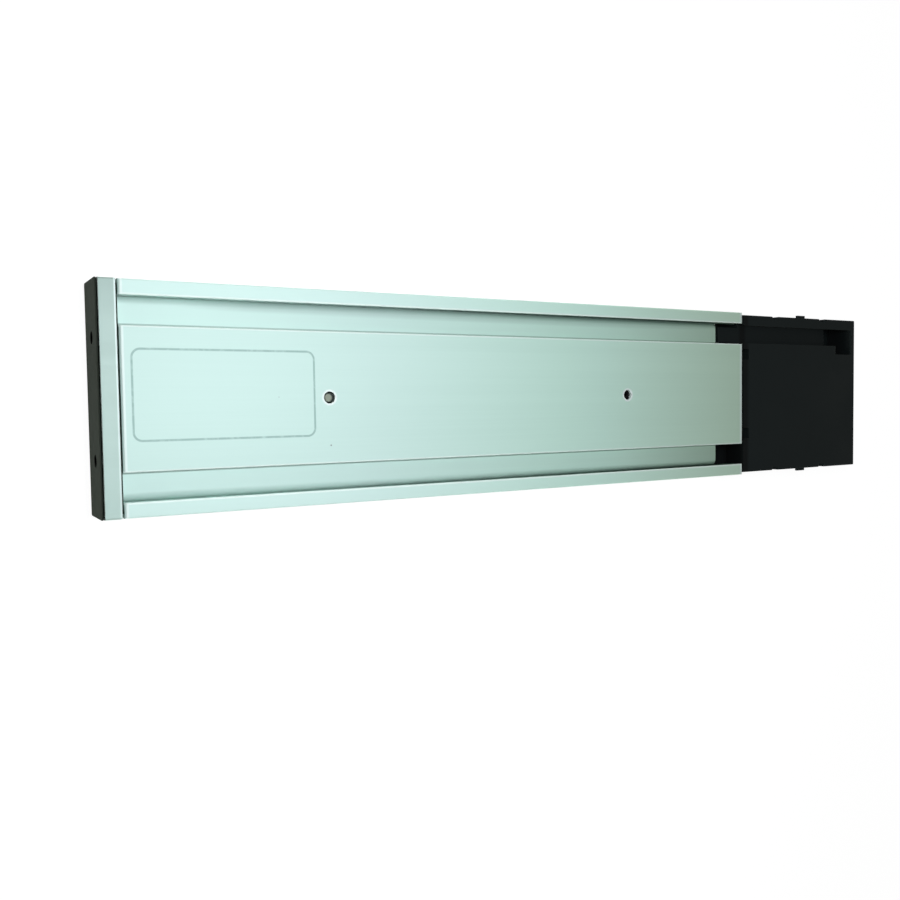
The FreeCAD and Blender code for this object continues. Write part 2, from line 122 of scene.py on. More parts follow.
# Die lines and edges
FINE_LINE_SHARE = 0.4
BROAD_LINE_SHARE = 0.6
BROAD_LINE_SCALE = 0.12
EDGE_TURN = (0.995, 0.80)

# Places on the profile that its finish follows
RAIL_WIDTH = 5.3 * MM
PANEL_WIDTH = 49.2 * MM
HOLE_INSET = 74.6 * MM
HOLE_RADIUS = 2.25 * MM

# Where the profile's finish changes: from one distance to another, and the shares it goes between
RAIL_CORNER = (0.3 * MM, -0.3 * MM)
GROOVE_MOUTH = (0.6 * MM, 1.4 * MM)
GROOVE_BED = (7.5 * MM, 6.5 * MM)
GROOVE_WALL = (1.0 * MM, 1.6 * MM)
UPPER_HALF = (-1.0 * MM, 1.0 * MM)
# Painted shade in the grooves: shadow under the rails, stronger away from the cap, a band below the upper
# rail, and shade towards the feed end
UNDER_RAIL = (3.0 * MM, 0.1 * MM)
LOWER_SHADE_REACH = (20.0 * MM, 290.0 * MM)
UPPER_SHADE_REACH = (20.0 * MM, 200.0 * MM, 0.0, 0.75)
BAND_EDGE = (4.8 * MM, 3.2 * MM, 0.0, 0.22)
BAND_AT_RAIL = (1.0 * MM, 0.4 * MM, 1.0, 0.2)
BAND_START = (10.0 * MM, 45.0 * MM)
FEED_END_SHADE = (75.0 * MM, 17.0 * MM, 0.0, 0.25)
# Groove floors a little darker towards the capped end
CAP_END_DARKENING = (160.0 * MM, 40.0 * MM, 0.0, 0.055)
# Reach of the painted shade at the profile's capped end
CAP_JOINT = (0.12 * MM, 0.02 * MM)
# Reaches of the painted light tint along the track
MIDDLE_LIGHT_TINT_REACH = (200.0 * MM, 110.0 * MM)
FEED_END_LIGHT_TINT_REACH = (90.0 * MM, 0.0)
FEED_END_GLEAM = (2.3 * MM, 1.6 * MM)
# Painted highlight round the screw holes
HOLE_RIM_HIGHLIGHT = (1.0 * MM, 0.4 * MM)

# Lines on the profile: place and reach, and the share of the reach over which a line is full. The line at the
# panel's foot is painted shade; the lines at the rail, the panel edges and the capped end are painted
# highlights.
LINE_CORE = 0.4
PANEL_FOOT = (0.3 * MM, 0.5 * MM)
RAIL_GLEAM = (-0.2 * MM, 0.6 * MM)
PANEL_GLEAM = (-0.2 * MM, 0.5 * MM)
CAP_END_GLEAM = (0.85 * MM, 0.7 * MM)

# Shares and levels of the profile's finish
# Shares of the painted shade at the panel's foot and towards the feed end in the upper groove
PANEL_FOOT_SHARE = 0.5
UPPER_FEED_SHADE_SHARE = 0.66
# Shares of the painted shade at the cap joint, on the top and in the grooves
CAP_JOINT_SHARES = (0.9, 0.3)
GLEAM_SHARE = 0.75
FLECK_SHARE = 0.7
PROFILE_METALLIC = (0.1, 0.25)
PROFILE_ROUGHNESS = (0.56, 0.66)
PROFILE_LINE_DEPTH = 0.004 * MM

# Printed frame on the back panel
PRINT_LEFT = 3.7 * MM
PRINT_RIGHT = 68.6 * MM
PRINT_LOW = -14.1 * MM
PRINT_HIGH = 16.85 * MM
PRINT_CORNER = 2.9 * MM
PRINT_LINE = (0.72 * 0.62 * MM, 0.72 * 0.38 * MM)
PRINT_DEPTH = 0.1 * MM
PRINT_WEAR_CELLS = 420.0
PRINT_WEAR = (0.25, 0.5, 0.45, 1.0)

# Frame of the end cap
TRIM_METALLIC = 0.15
TRIM_ROUGHNESS = (0.44, 0.58)
# Reaches of the painted shade on the outer lip and of the painted highlight on the lip towards the track
TRIM_OUTER_LIP = (0.3 * MM, 0.1 * MM)
TRIM_TRACK_LIP = (0.7 * MM, 0.45 * MM)
TRIM_WEAR_SHARE = 0.5

# Plastics
# How much painted shade the sunk faces get, by depth
SHALLOW_SINK = (0.5 * MM, 1.5 * MM, 0.0, 0.3)
DEEP_SINK = (2.0 * MM, 9.0 * MM, 0.0, 0.7)
SIDE_MARGIN = 1.4 * MM
MARGIN_EDGE = (0.1 * MM, 0.4 * MM)
CLOUD_SHARE = 0.25
# Share of the painted shade along a seam
SEAM_SHADE_SHARE = 0.7
PLASTIC_ROUGHNESS_CHANGE = 0.06
# Places of the painted shade: on the housing just past the track's end, and on the cap along the frame
HOUSING_SEAM_INSET = 3.6 * MM
HOUSING_SEAM_REACH = 3.0 * MM
CAP_SEAM_REACH = 0.8 * MM

# Screws and other bare metal
METAL_LINE_DEPTH = 0.006 * MM
METAL_SMOOTHER = 0.08
METAL_ROUGHER = 0.1
# Painted shade round the panel screw's end: its fade, and the shifted middle and radius left unshaded
SHADE_FADE = 0.3 * MM
ZINC_UNSHADED_SHIFT = (-0.45 * MM, -0.1 * MM)
ZINC_UNSHADED_RADIUS = 1.25 * MM

# Shapes of the screws
CAP_SCREW_HEAD_HEIGHT = 1.6 * MM
CAP_SCREW_SHANK = 1.3 * MM
CAP_SCREW_PITCH = 1.0 * MM
PANEL_SCREW_HEAD_HEIGHT = 2.2 * MM
PANEL_SCREW_SHANK = 2.0 * MM
PANEL_SCREW_PITCH = 0.7 * MM
PANEL_SCREW_TURN = 0.4
SCREW_SIDES = 36
SCREW_SMOOTH_ANGLE = math.radians(35.0)
FACING_UP = 0.9
NEAR_HEAD_TOP = 0.99

# Parts of a screw, as shares of its head, pitch, shank or end
HEAD_ROUNDING = 0.35
HEAD_ROUNDING_STEPS = 4
THREAD_CORE = 0.84
THREAD_RISE = 0.42
THREAD_CREST = 0.52
THREAD_FALL = 0.48
END_RISE = 0.3
END_CREST = 0.6
END_CHAMFER = 0.4
END_TAPER = 0.8
END_INSET = 0.25
DRIVE_LENGTH = 1.5
DRIVE_WIDTH = 0.36
DRIVE_DEPTH = 0.5
DRIVE_TAPER = (0.8, 0.7, 1.0)

# Floor
FLOOR_SIZE = 12.0
FLOOR_CUTS = 3
FLOOR_DROP = 0.05 * MM
FLOOR_PALE = (0.90, 0.90, 0.90, 1.0)
FLOOR_ROUGHNESS = 0.9
FLOOR_GLOW = 1.19
FLOOR_GLOW_SHARE = 0.8
FLOOR_UNDER_TRACK = (-4.0 * MM, -1.0 * MM)

# Lamps and surround
WHITE = (1.0, 1.0, 1.0, 1.0)
KEY_TINT = (0.965, 1.0, 1.05)
KEY_PLACE = (-0.132, 0.028, 0.30)
KEY_AIM = (-0.122, 0.0, 0.02)
KEY_SIZE = (0.12, 0.12)
KEY_WATTS = 0.694
SIDE_TINT = (0.985, 1.0, 0.95)
SIDE_AIM = (0.0, 0.0, 0.02)
SIDE_SIZE = (0.7, 0.16)
SIDE_PANELS = (
    ("left_panel", (-1.3, 0.0, 0.10), 5.6),
    ("right_panel", (1.3, 0.0, 0.10), 3.5),
    ("near_panel", (-0.04, -1.1, 0.10), 3.8),
    ("far_panel", (-0.04, 1.1, 0.10), 3.8),
)
SURROUND_STRENGTH = 0.066
SURROUND_MIRRORED = 0.08


def add_node(tree, kind, **settings):
    node = tree.nodes.new(kind)
    for name, value in settings.items():
        setattr(node, name, value)
    return node


def feed(tree, target, value):
    """Sets a socket to a constant, or links it to another node's output."""
    if isinstance(value, bpy.types.NodeSocket):
        tree.links.new(value, target)
    else:
        target.default_value = value


def maths(tree, operation, *values, clamp=False):
    node = add_node(tree, "ShaderNodeMath", operation=operation, use_clamp=clamp)
    for socket, value in zip(node.inputs, values):
        feed(tree, socket, value)
    return node.outputs["Value"]


def minus(tree, first, second):
    return maths(tree, "SUBTRACT", first, second)


def times(tree, first, *others):
    """All the values multiplied together."""
    for other in others:
        first = maths(tree, "MULTIPLY", first, other)
    return first


def largest(tree, first, *others):
    for other in others:
        first = maths(tree, "MAXIMUM", first, other)
    return first


def vector_maths(tree, operation, *values, result="Vector"):
    node = add_node(tree, "ShaderNodeVectorMath", operation=operation)
    for socket, value in zip(node.inputs, values):
        feed(tree, socket, value)
    return node.outputs[result]


def split(tree, vector):
    """A vector's X, Y and Z."""
    node = add_node(tree, "ShaderNodeSeparateXYZ")
    feed(tree, node.inputs["Vector"], vector)
    return node.outputs["X"], node.outputs["Y"], node.outputs["Z"]


def upright_radius(tree, vector):
    """How far a vector reaches sideways from an upright axis."""
    level = vector_maths(tree, "MULTIPLY", vector, (1.0, 1.0, 0.0))
    return vector_maths(tree, "LENGTH", level, result="Value")


def spread(tree, value, low, high, to_low=0.0, to_high=1.0):
    """Stretches a value's range from low..high to to_low..to_high, held at both ends."""
    node = add_node(tree, "ShaderNodeMapRange", clamp=True)
    feed(tree, node.inputs["Value"], value)
    feed(tree, node.inputs["From Min"], low)
    feed(tree, node.inputs["From Max"], high)
    feed(tree, node.inputs["To Min"], to_low)
    feed(tree, node.inputs["To Max"], to_high)
    return node.outputs["Result"]


def near(tree, value, place, reach):
    """One at a place in a value's range, falling to nought at reach from it."""
    distance = maths(tree, "ABSOLUTE", minus(tree, value, place))
    return spread(tree, distance, reach, reach * LINE_CORE)


def blend_colours(tree, share, first, second, way="MIX"):
    node = add_node(tree, "ShaderNodeMix", data_type="RGBA", blend_type=way)
    feed(tree, node.inputs["Factor"], share)
    for name, colour in (("A", first), ("B", second)):
        socket = next(item for item in node.inputs if item.name == name and item.type == "RGBA")
        feed(tree, socket, colour if isinstance(colour, bpy.types.NodeSocket) else (*colour, 1.0))
    return next(item for item in node.outputs if item.type == "RGBA")


def noise(tree, place, scale, detail, roughness=0.5):
    node = add_node(tree, "ShaderNodeTexNoise")
    feed(tree, node.inputs["Vector"], place)
    feed(tree, node.inputs["Scale"], scale)
    feed(tree, node.inputs["Detail"], detail)
    feed(tree, node.inputs["Roughness"], roughness)
    return node.outputs["Fac"]


def object_place(tree):
    return add_node(tree, "ShaderNodeTexCoord").outputs["Object"]


def new_group(name, inputs, outputs):
    """An empty shader node group with named sockets, its given values and its result node."""
    tree = bpy.data.node_groups.new(name, "ShaderNodeTree")
    for label in inputs:
        tree.interface.new_socket(label, in_out="INPUT", socket_type="NodeSocketFloat")
    for label in outputs:
        kind = "NodeSocketVector" if label == "Normal" else "NodeSocketFloat"
        tree.interface.new_socket(label, in_out="OUTPUT", socket_type=kind)
    return tree, add_node(tree, "NodeGroupInput").outputs, add_node(tree, "NodeGroupOutput")


def make_die_lines():
    """Fine lines along the track, as a pressing die leaves them."""
    tree, given, result = new_group("die_lines", ("Lines", "Stretch"), ("Height", "Tone"))
    stretch = add_node(tree, "ShaderNodeCombineXYZ")
    feed(tree, stretch.inputs["X"], given["Stretch"])
    feed(tree, stretch.inputs["Y"], 1.0)
    feed(tree, stretch.inputs["Z"], 1.0)
    place = vector_maths(tree, "MULTIPLY", object_place(tree), stretch.outputs["Vector"])
    fine = noise(tree, place, given["Lines"], detail=3.0, roughness=0.65)
    broad = noise(tree, place, times(tree, given["Lines"], BROAD_LINE_SCALE), detail=2.0)
    tone = maths(tree, "MULTIPLY_ADD", fine, FINE_LINE_SHARE, times(tree, broad, BROAD_LINE_SHARE))
    feed(tree, result.inputs["Height"], fine)
    feed(tree, result.inputs["Tone"], tone)
    return tree


def make_moulded_grain():
    """The fine eroded texture of moulded plastic, with broad cloudy patches."""
    tree, given, result = new_group("moulded_grain", ("Grain", "Patches"), ("Height", "Tone"))
    place = object_place(tree)
    feed(tree, result.inputs["Height"], noise(tree, place, given["Grain"], detail=2.0, roughness=0.6))
    feed(tree, result.inputs["Tone"], noise(tree, place, given["Patches"], detail=3.0))
    return tree


def make_edge_wear():
    """Where a surface turns a corner, rubbed unevenly, and the softened corner's own slope."""
    tree, given, result = new_group("edge_wear", ("Width", "Breaks"), ("Mask", "Normal"))
    bevel = add_node(tree, "ShaderNodeBevel", samples=8)
    feed(tree, bevel.inputs["Radius"], given["Width"])
    facing = add_node(tree, "ShaderNodeNewGeometry").outputs["Normal"]
    turned = vector_maths(tree, "DOT_PRODUCT", bevel.outputs["Normal"], facing, result="Value")
    edge = spread(tree, turned, *EDGE_TURN)
    rubbed = spread(tree, noise(tree, object_place(tree), given["Breaks"], detail=3.0), *RUBBED_TONES)
    feed(tree, result.inputs["Mask"], times(tree, edge, rubbed))
    feed(tree, result.inputs["Normal"], bevel.outputs["Normal"])
    return tree


def make_specks():
    """Sparse small flecks, each in a cell of its own."""
    tree, given, result = new_group("specks", ("Cells", "Size", "Share"), ("Mask",))
    cells = add_node(tree, "ShaderNodeTexVoronoi")
    feed(tree, cells.inputs["Vector"], object_place(tree))
    feed(tree, cells.inputs["Scale"], given["Cells"])
    part = add_node(tree, "ShaderNodeSeparateColor")
    feed(tree, part.inputs["Color"], cells.outputs["Color"])
    chosen = maths(tree, "LESS_THAN", part.outputs["Red"], given["Share"])
    spot = maths(tree, "LESS_THAN", cells.outputs["Distance"], given["Size"])
    feed(tree, result.inputs["Mask"], times(tree, chosen, spot))
    return tree


DIE_LINES = make_die_lines()
MOULDED_GRAIN = make_moulded_grain()
EDGE_WEAR = make_edge_wear()
SPECKS = make_specks()


def place_group(tree, group, **values):
    node = add_node(tree, "ShaderNodeGroup", node_tree=group)
    for label, value in values.items():
        node.inputs[label].default_value = value
    return node.outputs


def new_material(name, metallic):
    """A material, its nodes and its Principled shader."""
    material = bpy.data.materials.new(name)
    material.use_nodes = True
    tree = material.node_tree
    shader = tree.nodes["Principled BSDF"]
    shader.inputs["Metallic"].default_value = metallic
    return material, tree, shader


def roughen(tree, shader, tone, smoothest, roughest):
    """Lets the roughness follow a noise's tone."""
    feed(tree, shader.inputs["Roughness"], spread(tree, tone, *MOST_TONES, smoothest, roughest))


def add_bump(tree, shader, slope, height, depth):
    bump = add_node(tree, "ShaderNodeBump")
    feed(tree, bump.inputs["Normal"], slope)
    feed(tree, bump.inputs["Height"], height)
    feed(tree, bump.inputs["Strength"], 1.0)
    feed(tree, bump.inputs["Distance"], depth)
    feed(tree, shader.inputs["Normal"], bump.outputs["Normal"])


def printed_frame(tree, track_left, panel_top):
    """Where the panel carries its printed frame: a thin line round a rectangle with rounded corners."""
    place = object_place(tree)
    half_length, half_width = (PRINT_RIGHT - PRINT_LEFT) / 2, (PRINT_HIGH - PRINT_LOW) / 2
    middle = (PRINT_LEFT + half_length + track_left, PRINT_LOW + half_width, 0.0)
    away = vector_maths(tree, "ABSOLUTE", vector_maths(tree, "SUBTRACT", place, middle))
    past = vector_maths(tree, "SUBTRACT", away, (half_length - PRINT_CORNER, half_width - PRINT_CORNER, 1.0))
    outside = vector_maths(tree, "MAXIMUM", past, (0.0, 0.0, 0.0))
    corner = vector_maths(tree, "LENGTH", outside, result="Value")
    past_x, past_y, _ = split(tree, past)
    inside = maths(tree, "MINIMUM", largest(tree, past_x, past_y), 0.0)
    distance = minus(tree, maths(tree, "ADD", corner, inside), PRINT_CORNER)
    line = spread(tree, maths(tree, "ABSOLUTE", distance), *PRINT_LINE)
    _, _, level = split(tree, place)
    on_top = maths(tree, "GREATER_THAN", level, panel_top - PRINT_DEPTH)
    worn = spread(tree, noise(tree, place, PRINT_WEAR_CELLS, detail=3.0), *PRINT_WEAR)
    return times(tree, line, on_top, worn)


def hole_rim_highlights(tree, low, high):
    """Where a painted highlight rings the panel's two screw holes."""
    middle = ((low.x + high.x) / 2, 0.0, 0.0)
    away = vector_maths(tree, "ABSOLUTE", vector_maths(tree, "SUBTRACT", object_place(tree), middle))
    past = vector_maths(tree, "SUBTRACT", away, ((high.x - low.x) / 2 - HOLE_INSET, 0.0, 0.0))
    return spread(tree, minus(tree, upright_radius(tree, past), HOLE_RADIUS), *HOLE_RIM_HIGHLIGHT)


def groove_painted_shade(tree, from_cap, from_feed, from_rail, from_panel, upper):
    """How much painted shade a groove gets: most under its rail as its shadow, a painted shade line at the
    panel's foot, painted shade towards the feed end, and a little darkening towards the capped end.
    """
    lower_shade = spread(tree, from_cap, *LOWER_SHADE_REACH)
    upper_shade = spread(tree, from_cap, *UPPER_SHADE_REACH)
    shade_strength = spread(tree, upper, 0.0, 1.0, lower_shade, upper_shade)
    under_rail = times(tree, spread(tree, from_rail, *UNDER_RAIL), shade_strength)
    band = times(tree, spread(tree, from_rail, *BAND_EDGE), spread(tree, from_rail, *BAND_AT_RAIL))
    band = times(tree, band, spread(tree, from_cap, *BAND_START), upper)
    foot = times(tree, near(tree, from_panel, *PANEL_FOOT), PANEL_FOOT_SHARE)
    feed_end_shade = spread(tree, from_feed, *FEED_END_SHADE)
    feed_end_shade = times(tree, feed_end_shade, spread(tree, upper, 0.0, 1.0, 1.0, UPPER_FEED_SHADE_SHARE))
    cap_end_darkening = spread(tree, from_cap, *CAP_END_DARKENING)
    return largest(tree, maths(tree, "ADD", under_rail, band), foot, feed_end_shade, cap_end_darkening)


def aluminium_finish():
    """Satin anodised profile: die lines, rubbed edges, flecks and the print, with painted highlights along
    its edges, ends and hole rims, painted shade in the grooves and at the cap joint, and a painted light tint
    along the track.
    """
    material, tree, shader = new_material("anodised_aluminium", PROFILE_METALLIC[0])
    low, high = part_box("track_extrusion")
    along, across, level = split(tree, object_place(tree))
    lines = place_group(tree, DIE_LINES, Lines=1100.0, Stretch=0.010)
    wear = place_group(tree, EDGE_WEAR, Width=0.3 * MM, Breaks=120.0)
    flecks = place_group(tree, SPECKS, Cells=150.0, Size=0.05, Share=0.05)

    from_cap = minus(tree, along, low.x)
    from_feed = minus(tree, high.x, along)
    from_middle = maths(tree, "ABSOLUTE", across)
    from_rail = minus(tree, high.y - RAIL_WIDTH, from_middle)
    from_panel = minus(tree, from_middle, PANEL_WIDTH / 2)
    from_wall = minus(tree, high.y, from_middle)
    depth = minus(tree, high.z, level)
    sunk = spread(tree, depth, *GROOVE_MOUTH)
    in_groove = times(tree, sunk, spread(tree, from_wall, *GROOVE_WALL), spread(tree, depth, *GROOVE_BED))

    tone = spread(tree, lines["Tone"], *MIDDLE_TONES)
    metal = blend_colours(tree, tone, ALUMINIUM_TINT_DULL, ALUMINIUM_TINT)
    metal = blend_colours(tree, spread(tree, from_rail, *RAIL_CORNER), metal, ALUMINIUM_RAIL)
    upper = spread(tree, across, *UPPER_HALF)
    # Painted shade in the grooves, mixed over the floors
    painted_shade = groove_painted_shade(tree, from_cap, from_feed, from_rail, from_panel, upper)
    metal = blend_colours(tree, times(tree, painted_shade, in_groove), metal, GROOVE_SHADE_COLOUR)
    # Painted shade at the profile's capped end, where the joint with the frame lies in shadow
    joint = times(tree, spread(tree, from_cap, *CAP_JOINT), spread(tree, sunk, 0.0, 1.0, *CAP_JOINT_SHARES))
    metal = blend_colours(tree, joint, metal, JOINT_SHADE_COLOUR)
    # Painted light tint along the track
    metal = blend_colours(tree, spread(tree, from_feed, *MIDDLE_LIGHT_TINT_REACH), metal, MIDDLE_LIGHT_TINT, "MULTIPLY")
    metal = blend_colours(tree, spread(tree, from_feed, *FEED_END_LIGHT_TINT_REACH), metal, FEED_END_LIGHT_TINT, "MULTIPLY")

    # Painted highlights along the rail and panel edges and at both ends of the profile
    rail_line = near(tree, from_rail, *RAIL_GLEAM)
    panel_line = near(tree, from_panel, *PANEL_GLEAM)
    feed_line = spread(tree, from_feed, *FEED_END_GLEAM)
    cap_line = near(tree, from_cap, *CAP_END_GLEAM)
    raised = spread(tree, sunk, 1.0, 0.0)
    highlight_and_wear = largest(tree, rail_line, panel_line, feed_line, cap_line, wear["Mask"])
    highlight_and_wear = times(tree, highlight_and_wear, raised, GLEAM_SHARE)
    # Painted highlights and rubbed edges, with painted highlights round the holes, in a pale tint
    metal = blend_colours(tree, largest(tree, highlight_and_wear, hole_rim_highlights(tree, low, high)), metal, ALUMINIUM_HIGHLIGHT_AND_WEAR)
    metal = blend_colours(tree, times(tree, flecks["Mask"], FLECK_SHARE), metal, FLECK_GREY)
    metal = blend_colours(tree, printed_frame(tree, low.x, high.z), metal, PRINT_GREY)

    feed(tree, shader.inputs["Base Color"], metal)
    feed(tree, shader.inputs["Metallic"], spread(tree, sunk, 0.0, 1.0, *PROFILE_METALLIC))
    roughen(tree, shader, lines["Tone"], *PROFILE_ROUGHNESS)
    add_bump(tree, shader, wear["Normal"], lines["Height"], PROFILE_LINE_DEPTH)
    return material


def trim_finish():
    """Matte silver frame of the end cap, with painted shade on its outer lip, a painted highlight on its lip
    towards the track, and rubbed edges.
    """
    material, tree, shader = new_material("silver_trim", TRIM_METALLIC)
    low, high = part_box("end_cap_frame")
    along, across, _ = split(tree, object_place(tree))
    lines = place_group(tree, DIE_LINES, Lines=700.0, Stretch=0.06)
    wear = place_group(tree, EDGE_WEAR, Width=0.35 * MM, Breaks=220.0)
    metal = blend_colours(tree, spread(tree, lines["Tone"], *MIDDLE_TONES), TRIM_TINT_DULL, TRIM_TINT)
    # Painted shade, darker towards the frame's upper end
    metal = blend_colours(tree, spread(tree, across, low.y, high.y), metal, TRIM_UPPER_SHADE, "MULTIPLY")
    outer_lip = spread(tree, minus(tree, along, low.x), *TRIM_OUTER_LIP)
    metal = blend_colours(tree, outer_lip, metal, TRIM_SHADED)
    # Painted highlight on the lip towards the track, mixed with the rubbed edges
    track_lip = spread(tree, minus(tree, high.x, along), *TRIM_TRACK_LIP)
    rubbed = largest(tree, track_lip, times(tree, wear["Mask"], TRIM_WEAR_SHARE))
    feed(tree, shader.inputs["Base Color"], blend_colours(tree, rubbed, metal, TRIM_HIGHLIGHT_AND_WEAR))
    roughen(tree, shader, lines["Tone"], *TRIM_ROUGHNESS)
    add_bump(tree, shader, wear["Normal"], lines["Height"], METAL_LINE_DEPTH)
    return material


def sunk_face_shade(tree, low, high):
    """How much painted shade a face gets for lying below the piece's top, from nought to one at 9 mm; none on
    its outer sides.
    """
    along, across, level = split(tree, object_place(tree))
    depth = minus(tree, high.z, level)
    sink = maths(tree, "ADD", spread(tree, depth, *SHALLOW_SINK), spread(tree, depth, *DEEP_SINK))
    from_side = minus(tree, high.y - SIDE_MARGIN, maths(tree, "ABSOLUTE", across))
    from_end = maths(tree, "MINIMUM", minus(tree, along, low.x), minus(tree, high.x, along))
    inside = spread(tree, maths(tree, "MINIMUM", from_side, from_end), *MARGIN_EDGE)
    return times(tree, sink, inside)


def plastic_finish(name, colour, worn_colour, roughness, gloss, grain, grain_depth, box=None, seam=None):
    """Moulded plastic: eroded grain, cloudy patches, paler edges, with painted shade where sunk and along a
    seam.
    """
    material, tree, shader = new_material(name, 0.0)
    shader.inputs["Specular IOR Level"].default_value = gloss
    texture = place_group(tree, MOULDED_GRAIN, Grain=grain, Patches=42.0)
    wear = place_group(tree, EDGE_WEAR, Width=0.4 * MM, Breaks=240.0)
    cloudy = spread(tree, texture["Tone"], *MIDDLE_TONES, 0.0, CLOUD_SHARE)
    body = blend_colours(tree, cloudy, colour, worn_colour)
    body = blend_colours(tree, wear["Mask"], body, worn_colour)
    if box is not None:
        # Painted shade on the sunk faces
        body = blend_colours(tree, sunk_face_shade(tree, *box), body, SUNK_SHADE_BLACK)
    if seam is not None:
        # Painted shade along the seam
        along, _, _ = split(tree, object_place(tree))
        painted_shade = times(tree, near(tree, along, *seam), SEAM_SHADE_SHARE)
        body = blend_colours(tree, painted_shade, body, SEAM_SHADE_BLACK)
    feed(tree, shader.inputs["Base Color"], body)
    roughen(tree, shader, texture["Tone"],
            roughness - PLASTIC_ROUGHNESS_CHANGE, roughness + PLASTIC_ROUGHNESS_CHANGE)
    add_bump(tree, shader, wear["Normal"], texture["Height"], grain_depth)
    return material


def metal_finish(name, bright, dull, metallic, roughness, lines_per_metre, unshaded_middle=None):
    """Drawn or plated metal: streaks, duller patches, rubbed edges, and painted shade round an unshaded
    middle if given.
    """
    material, tree, shader = new_material(name, metallic)
    lines = place_group(tree, DIE_LINES, Lines=lines_per_metre, Stretch=0.05)
    texture = place_group(tree, MOULDED_GRAIN, Grain=1500.0, Patches=160.0)
    wear = place_group(tree, EDGE_WEAR, Width=0.15 * MM, Breaks=500.0)
    body = blend_colours(tree, spread(tree, texture["Tone"], *TARNISH_TONES), bright, dull)
    body = blend_colours(tree, wear["Mask"], body, bright)
    if unshaded_middle is not None:
        # Painted shade round the middle, thicker on one side, for the hole's shadowed wall
        away = vector_maths(tree, "SUBTRACT", object_place(tree), unshaded_middle)
        painted_shade = spread(tree, upright_radius(tree, away), ZINC_UNSHADED_RADIUS, ZINC_UNSHADED_RADIUS + SHADE_FADE)
        body = blend_colours(tree, painted_shade, body, ZINC_SHADE_COLOUR)
    feed(tree, shader.inputs["Base Color"], body)
    roughen(tree, shader, lines["Tone"], roughness - METAL_SMOOTHER, roughness + METAL_ROUGHER)
    add_bump(tree, shader, wear["Normal"], lines["Height"], METAL_LINE_DEPTH)
    return material


def deselect_all():
    bpy.ops.object.select_all(action="DESELECT")


def pick(piece):
    """Selects one piece alone and makes it the active one."""
    deselect_all()
    piece.select_set(True)
    bpy.context.view_layer.objects.active = piece


def select_parts(piece, kind, wanted):
    """In edit mode, selects the faces or edges for which wanted says yes, and nothing else."""
    mesh = bmesh.from_edit_mesh(piece.data)
    for part in (*mesh.verts, *mesh.edges, *mesh.faces):
        part.select = False
    for part in getattr(mesh, kind):
        if wanted(part):
            part.select_set(True)
    bmesh.update_edit_mesh(piece.data)


def draw_out(step, scale, level):
    """Extrudes the selected end along the screw and sizes the new end."""
    bpy.ops.mesh.extrude_region_move(TRANSFORM_OT_translate={"value": (0.0, 0.0, step)})
    bpy.ops.transform.resize(value=(scale, scale, 1.0), center_override=(0.0, 0.0, level))


def cut_drive(piece, head_radius, head_height, turn):
    """Cuts one driver slot across the screw's head."""
    depth = head_height * DRIVE_DEPTH
    deselect_all()
    bpy.ops.mesh.primitive_cube_add(size=1.0, location=(0.0, 0.0, -head_height), rotation=(0.0, 0.0, turn))
    cutter = bpy.context.object
    cutter.scale = (head_radius * DRIVE_LENGTH, head_radius * DRIVE_WIDTH, depth * 2)
    bpy.ops.object.mode_set(mode="EDIT")
    select_parts(cutter, "faces", lambda face: face.normal.z > FACING_UP)
    bpy.ops.transform.resize(value=DRIVE_TAPER, center_override=(0.0, 0.0, depth - head_height))
    bpy.ops.object.mode_set(mode="OBJECT")
    cut = piece.modifiers.new("drive", "BOOLEAN")
    cut.operation = "DIFFERENCE"
    cut.object = cutter
    bpy.context.view_layer.objects.active = piece
    bpy.ops.object.modifier_apply(modifier=cut.name)
    bpy.data.objects.remove(cutter, do_unlink=True)


def make_screw(name, head_radius, head_height, shank, pitch, length, crossed):
    """A screw along Z with its head's seat at zero: rounded head, driver slots, thread, chamfered end."""
    deselect_all()
    bpy.ops.mesh.primitive_cylinder_add(vertices=SCREW_SIDES, radius=head_radius, depth=head_height,
                                        location=(0.0, 0.0, -head_height / 2))
    piece = bpy.context.object
    piece.name = name
    bpy.ops.object.transform_apply(location=True, rotation=False, scale=False)
    bpy.ops.object.mode_set(mode="EDIT")
    head_top = -head_height * NEAR_HEAD_TOP
    select_parts(piece, "edges", lambda edge: all(vert.co.z < head_top for vert in edge.verts))
    bpy.ops.mesh.bevel(offset=head_height * HEAD_ROUNDING, segments=HEAD_ROUNDING_STEPS, affect="EDGES")
    select_parts(piece, "faces", lambda face: face.normal.z > FACING_UP)
    bpy.ops.mesh.inset(thickness=head_radius - shank * THREAD_CORE)
    level = pitch / 2
    draw_out(level, 1.0, level)
    while level + pitch * 2 < length:
        draw_out(pitch * THREAD_RISE, 1.0 / THREAD_CORE, level + pitch * THREAD_RISE)
        draw_out(pitch * (THREAD_CREST - THREAD_RISE), 1.0, level + pitch * THREAD_CREST)
        level += pitch
        draw_out(pitch * THREAD_FALL, THREAD_CORE, level)
    end = length - level
    draw_out(end * END_RISE, 1.0 / THREAD_CORE, level + end * END_RISE)
    draw_out(end * (END_CREST - END_RISE), 1.0, level + end * END_CREST)
    draw_out(end * END_CHAMFER, END_TAPER, length)
    bpy.ops.mesh.inset(thickness=shank * END_INSET)
    bpy.ops.object.mode_set(mode="OBJECT")
    cut_drive(piece, head_radius, head_height, 0.0)
    if crossed:
        cut_drive(piece, head_radius, head_height, math.pi / 2)
    pick(piece)
    bpy.ops.object.shade_smooth_by_angle(angle=SCREW_SMOOTH_ANGLE)
    return piece


def seat_screw(piece, seat, turn, node, material):
    """Puts a finished screw on its seat in place of its CAD node."""
    piece.rotation_euler = turn
    piece.location = seat
    pick(piece)
    bpy.ops.object.transform_apply(location=True, rotation=True, scale=True)
    piece.data.materials.clear()
    piece.data.materials.append(material)
    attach(piece, "root")
    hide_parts(node)


